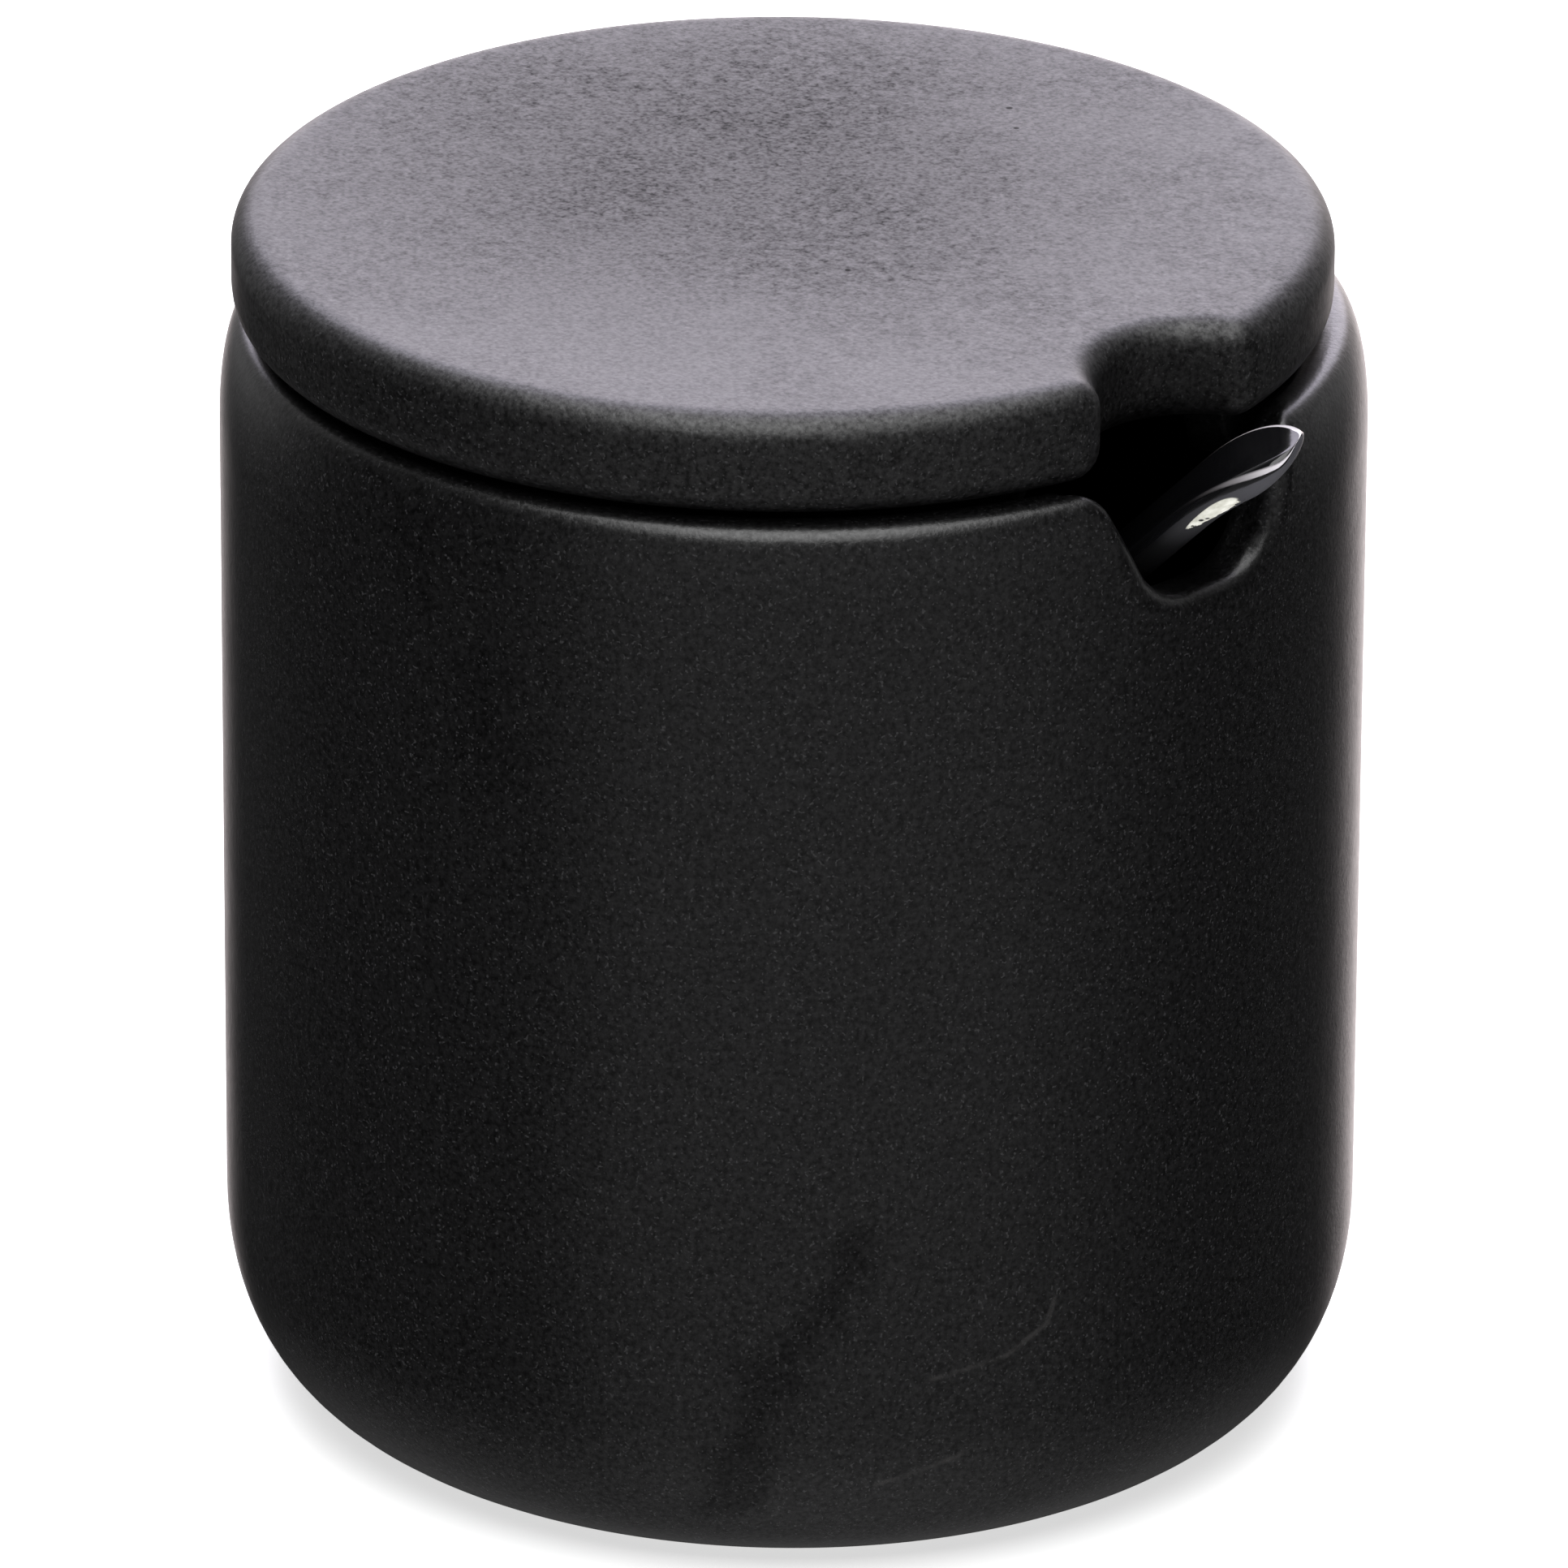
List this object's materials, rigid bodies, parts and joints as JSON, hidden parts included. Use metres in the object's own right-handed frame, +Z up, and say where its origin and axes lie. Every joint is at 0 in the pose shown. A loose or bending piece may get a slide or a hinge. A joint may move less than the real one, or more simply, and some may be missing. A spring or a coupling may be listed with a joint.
{
  "type": "sugar bowl",
  "caption": "Lidded ceramic sugar bowl: straight round bowl with a rounded foot, flat disc lid, and a spoon whose handle leaves through matching notches in the rim and lid.",
  "frame": {"origin": "centre of the flat base, on the bowl's axis, at the plane it rests on", "axes": "+Z up along the bowl's axis; +X towards the notches that the spoon's handle leaves through"},
  "size_m": [0.0908, 0.084, 0.092],
  "materials": {
    "matte_glaze": "matte black glaze with a fine grain and a soft grey sheen",
    "gloss_glaze": "glossy black glaze, with one small bare patch of pale clay on the handle"
  },
  "bodies": {
    "bowl": {"bowl": "matte_glaze"},
    "lid": {"lid": "matte_glaze"},
    "spoon": {"spoon": "gloss_glaze"}
  },
  "joints": [
    {"name": "lid_lift", "type": "slide", "parent": "bowl", "child": "lid", "axis": [0, 0, 1], "range_m": [0, 0.1]},
    {"name": "spoon_slide", "type": "slide", "parent": "bowl", "child": "spoon", "axis": [0.7014, 0.0675, 0.7096], "range_m": [0, 0.06]}
  ]
}
